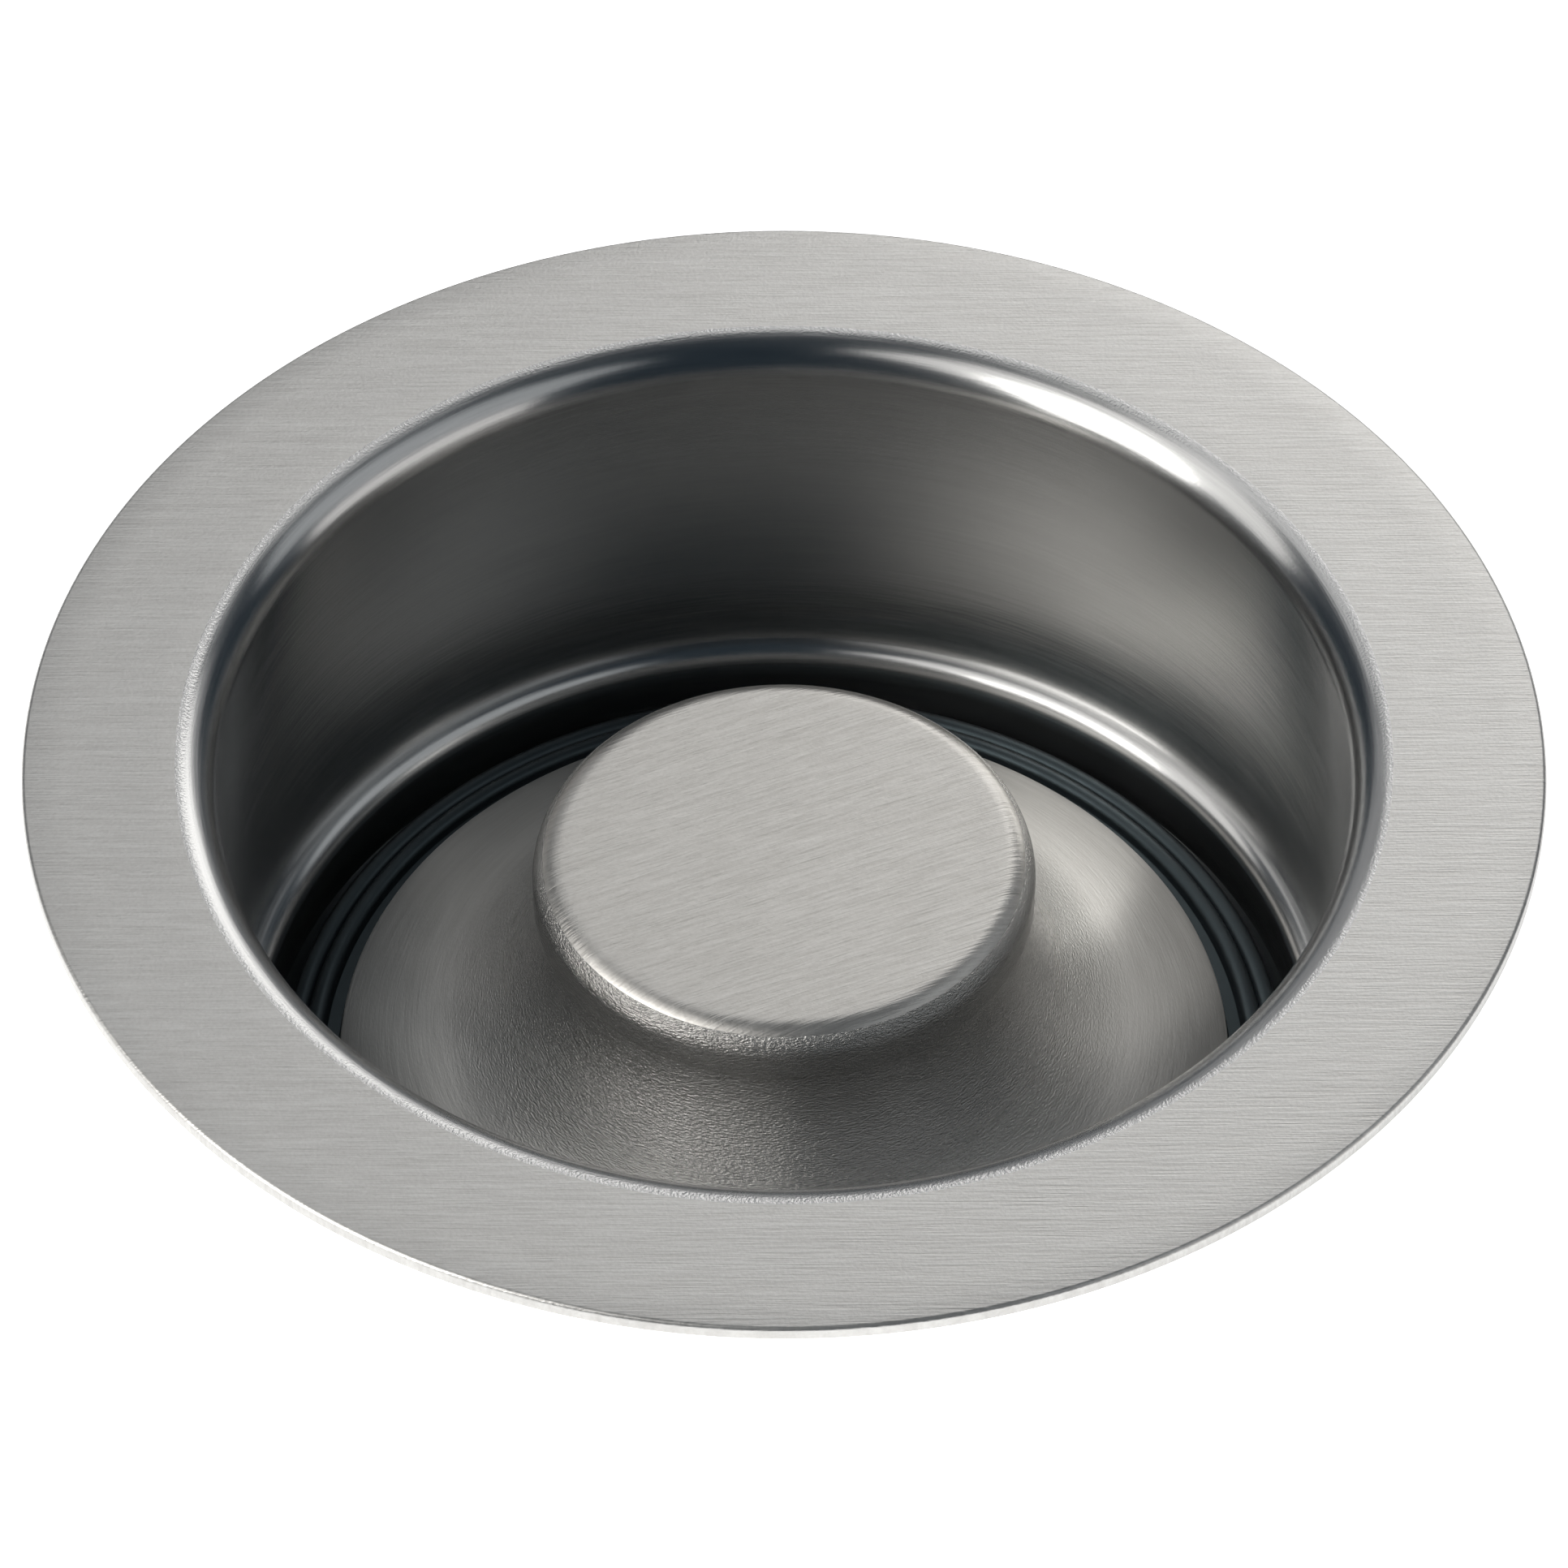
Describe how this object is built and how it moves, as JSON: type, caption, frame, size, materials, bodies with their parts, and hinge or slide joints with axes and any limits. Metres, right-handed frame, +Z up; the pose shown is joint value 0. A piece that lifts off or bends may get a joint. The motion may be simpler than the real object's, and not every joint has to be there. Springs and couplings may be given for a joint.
{
  "type": "garbage disposal sink flange with stopper and three-bolt mount",
  "caption": "Brushed steel sink drain flange with a lift-out knob stopper, clamped under the sink by a bolted mounting ring that carries a waste grinder.",
  "frame": {"origin": "centre of the sink hole, on the sink's upper surface where the rim beds", "axes": "+Z up along the drain's centre line, out of the sink hole; +X right; -Y towards the user"},
  "size_m": [0.1222, 0.132, 0.0681],
  "materials": {
    "flange_steel": "satin, spun and linear brushed",
    "stopper_steel": "satin, linear brushed top and circular brushed flare",
    "seal_rubber": "semi-gloss moulded",
    "core_plastic": "moulded",
    "bolt_steel": "turned stainless",
    "gasket_fibre": "pressed fibre",
    "backup_zinc": "zinc plated",
    "ring_zinc": "zinc plated",
    "screw_zinc": "zinc plated",
    "snap_steel": "spring wire",
    "baffle_rubber": "matt moulded"
  },
  "bodies": {
    "flange": {"sink_flange": "flange_steel", "fibre_gasket": "gasket_fibre", "backup_flange": "backup_zinc", "upper_mount_ring": "ring_zinc", "snap_ring": "snap_steel", "mounting_gasket": "baffle_rubber"},
    "stopper": {"stopper_cap": "stopper_steel", "stopper_seal": "seal_rubber", "stopper_core": "core_plastic", "stopper_washer": "bolt_steel", "stopper_bolt": "bolt_steel"},
    "screw_1": {"mounting_screw_1": "screw_zinc"},
    "screw_2": {"mounting_screw_2": "screw_zinc"},
    "screw_3": {"mounting_screw_3": "screw_zinc"},
    "lower_ring": {"lower_mount_ring": "ring_zinc"}
  },
  "joints": [
    {"name": "stopper_lift", "type": "slide", "parent": "flange", "child": "stopper", "axis": [0, 0, 1], "range_m": [0, 0.07]},
    {"name": "mounting_screw_1_advance", "type": "slide", "parent": "flange", "child": "screw_1", "axis": [0, 0, -1], "range_m": [0, 0.009]},
    {"name": "mounting_screw_2_advance", "type": "slide", "parent": "flange", "child": "screw_2", "axis": [0, 0, -1], "range_m": [0, 0.009]},
    {"name": "mounting_screw_3_advance", "type": "slide", "parent": "flange", "child": "screw_3", "axis": [0, 0, -1], "range_m": [0, 0.009]},
    {"name": "lower_ring_turn", "type": "hinge", "parent": "flange", "child": "lower_ring", "pos_m": [0, 0, -0.06], "axis": [0, 0, 1], "range_deg": [-45, 0]}
  ]
}
